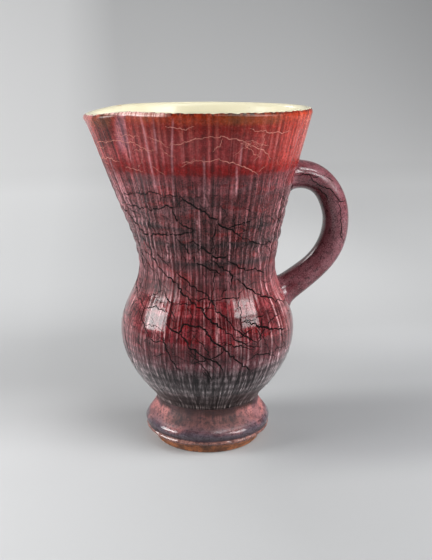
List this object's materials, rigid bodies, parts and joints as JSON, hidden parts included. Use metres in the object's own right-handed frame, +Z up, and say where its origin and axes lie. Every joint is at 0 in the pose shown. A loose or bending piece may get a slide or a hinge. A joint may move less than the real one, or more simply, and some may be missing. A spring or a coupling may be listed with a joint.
{
  "type": "glazed jug",
  "caption": "Waisted stoneware pouring jug with a round belly on a pedestal foot, a beak spout, an ear handle, cream glaze inside and red crackle glaze outside.",
  "frame": {"origin": "on the table under the axis of the body, in the plane of the standing ring", "axes": "+Z up along the body's axis, +X towards the handle, -X towards the spout"},
  "size_m": [0.1564, 0.1204, 0.2],
  "materials": {
    "clay": "bare fired clay, orange-brown, matt",
    "slip": "fired joining slip, matt",
    "red_glaze": "glossy oxblood red and mauve-grey glaze with dark crackle",
    "plum_glaze": "glossy plum and mauve glaze with fine dark crackle",
    "cream_glaze": "glossy cream glaze"
  },
  "bodies": {
    "root": {"body": "clay", "spout": "clay", "foot": "clay", "handle": "clay", "spout_slip": "slip", "foot_slip": "slip", "handle_slip": "slip", "body_glaze": "red_glaze", "spout_glaze": "red_glaze", "foot_glaze": "plum_glaze", "handle_glaze": "plum_glaze", "liner_glaze": "cream_glaze", "spout_liner": "cream_glaze"}
  },
  "joints": []
}
